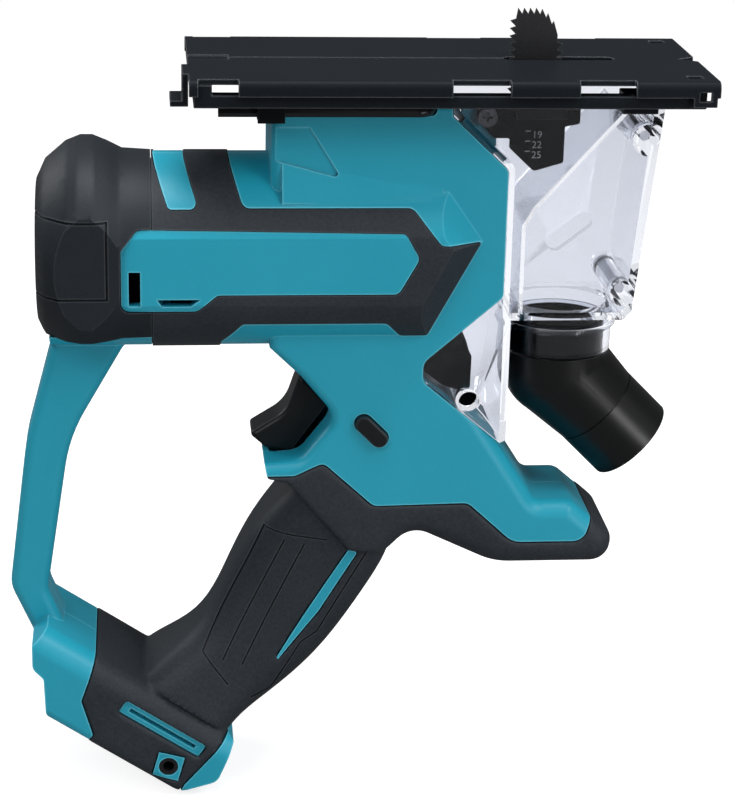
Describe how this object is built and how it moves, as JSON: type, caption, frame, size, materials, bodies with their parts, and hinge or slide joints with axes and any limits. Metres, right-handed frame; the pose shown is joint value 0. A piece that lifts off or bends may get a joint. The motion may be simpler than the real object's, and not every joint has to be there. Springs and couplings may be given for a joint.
{
  "type": "cordless drywall saw",
  "caption": "Hand-held saw for plasterboard with a short reciprocating blade through a flat sole, a closed hand guard, a clear dust box and a swivelling hose nozzle.",
  "frame": {"origin": "point where the blade's axis meets the working face of the sole", "axes": "+Z along the blade out of the sole, +X along the sole towards the dust box, +Y across it to the clamp screw's side"},
  "size_m": [0.2377, 0.079, 0.2812],
  "materials": {
    "housing_plastic": "satin moulded plastic",
    "soft_rubber": "matte overmould",
    "seal_rubber": "smooth",
    "clear_plastic": "clear, polished",
    "black_sheet": "semi-gloss black",
    "black_plastic": "fine grain",
    "nozzle_plastic": "polished black",
    "bright_steel": "ground",
    "dark_steel": "black oxide",
    "blade_steel": "dark ground steel",
    "cast_alloy": "die cast",
    "magnet": "ferrite",
    "copper": "enamelled",
    "carbon": "carbon",
    "brass_insert": "turned",
    "board": "coated board"
  },
  "bodies": {
    "housing": {"housing_left": "housing_plastic", "housing_right": "housing_plastic", "barrel_rubber_left": "soft_rubber", "barrel_rubber_right": "soft_rubber", "grip_rubber_left": "soft_rubber", "grip_rubber_right": "soft_rubber", "rear_cap": "soft_rubber", "housing_screws": "dark_steel", "hook_nuts": "brass_insert", "motor_can": "bright_steel", "motor_magnets": "magnet", "front_motor_bearing": "bright_steel", "rear_motor_bearing": "bright_steel", "brush_plate": "black_plastic", "brushes": "carbon", "gear_case_cover": "cast_alloy", "gear_case": "cast_alloy", "crank_rear_bearing": "bright_steel", "crank_front_bearing": "bright_steel", "guide_pins": "bright_steel", "depth_clamp_screw": "dark_steel", "depth_scale": "black_plastic", "scale_screw": "dark_steel", "dust_box_left": "clear_plastic", "dust_box_right": "clear_plastic", "dust_box_screws": "dark_steel", "work_light": "black_plastic", "light_lens": "clear_plastic", "switch_body": "black_plastic", "key_clip": "black_plastic", "terminal_block": "black_plastic", "terminals": "brass_insert", "control_board": "board"},
    "rotor": {"armature_shaft": "bright_steel", "armature_core": "bright_steel", "armature_windings": "copper", "commutator": "copper", "fan": "black_plastic", "motor_pinion": "bright_steel"},
    "crank": {"crank_gear": "bright_steel", "crank_shaft": "bright_steel", "crank_roller": "bright_steel"},
    "plunger": {"plunger": "bright_steel", "blade": "blade_steel", "blade_screw": "dark_steel"},
    "base": {"base_plate": "black_sheet", "base_bracket": "black_sheet", "base_rods": "bright_steel"},
    "trigger": {"trigger": "black_plastic"},
    "lock_button": {"lock_button": "black_plastic"},
    "nozzle": {"dust_nozzle": "nozzle_plastic", "nozzle_seal": "seal_rubber"},
    "hex_key": {"hex_key": "dark_steel"}
  },
  "joints": [
    {"name": "base_depth", "type": "slide", "parent": "housing", "child": "base", "axis": [0, 0, 1], "range_m": [-0.008, 0.017]},
    {"name": "blade_stroke", "type": "slide", "parent": "housing", "child": "plunger", "axis": [0, 0, 1], "range_m": [-0.003, 0.003]},
    {"name": "motor_spin", "type": "hinge", "parent": "housing", "child": "rotor", "pos_m": [0, 0, -0.0665], "axis": [1, 0, 0], "continuous": true},
    {"name": "crank_spin", "type": "hinge", "parent": "housing", "child": "crank", "pos_m": [0, 0, -0.049], "axis": [1, 0, 0], "continuous": true},
    {"name": "trigger_pull", "type": "slide", "parent": "housing", "child": "trigger", "axis": [0.809, 0, -0.5878], "range_m": [0, 0.007], "stiffness_N_per_m": 900},
    {"name": "lock_button_push", "type": "slide", "parent": "housing", "child": "lock_button", "axis": [0, 1, 0], "range_m": [0, 0.004], "stiffness_N_per_m": 800},
    {"name": "nozzle_swivel", "type": "hinge", "parent": "housing", "child": "nozzle", "pos_m": [0.012, 0, -0.1], "axis": [0, 0, 1], "range_deg": [-90, 90]},
    {"name": "hex_key_swing", "type": "hinge", "parent": "housing", "child": "hex_key", "pos_m": [-0.038, -0.0256, -0.0132], "axis": [0, -1, 0], "range_deg": [0, 20]}
  ],
  "couplings": [
    {"joint": "crank_spin", "follows": "motor_spin", "ratio": -0.25}
  ]
}
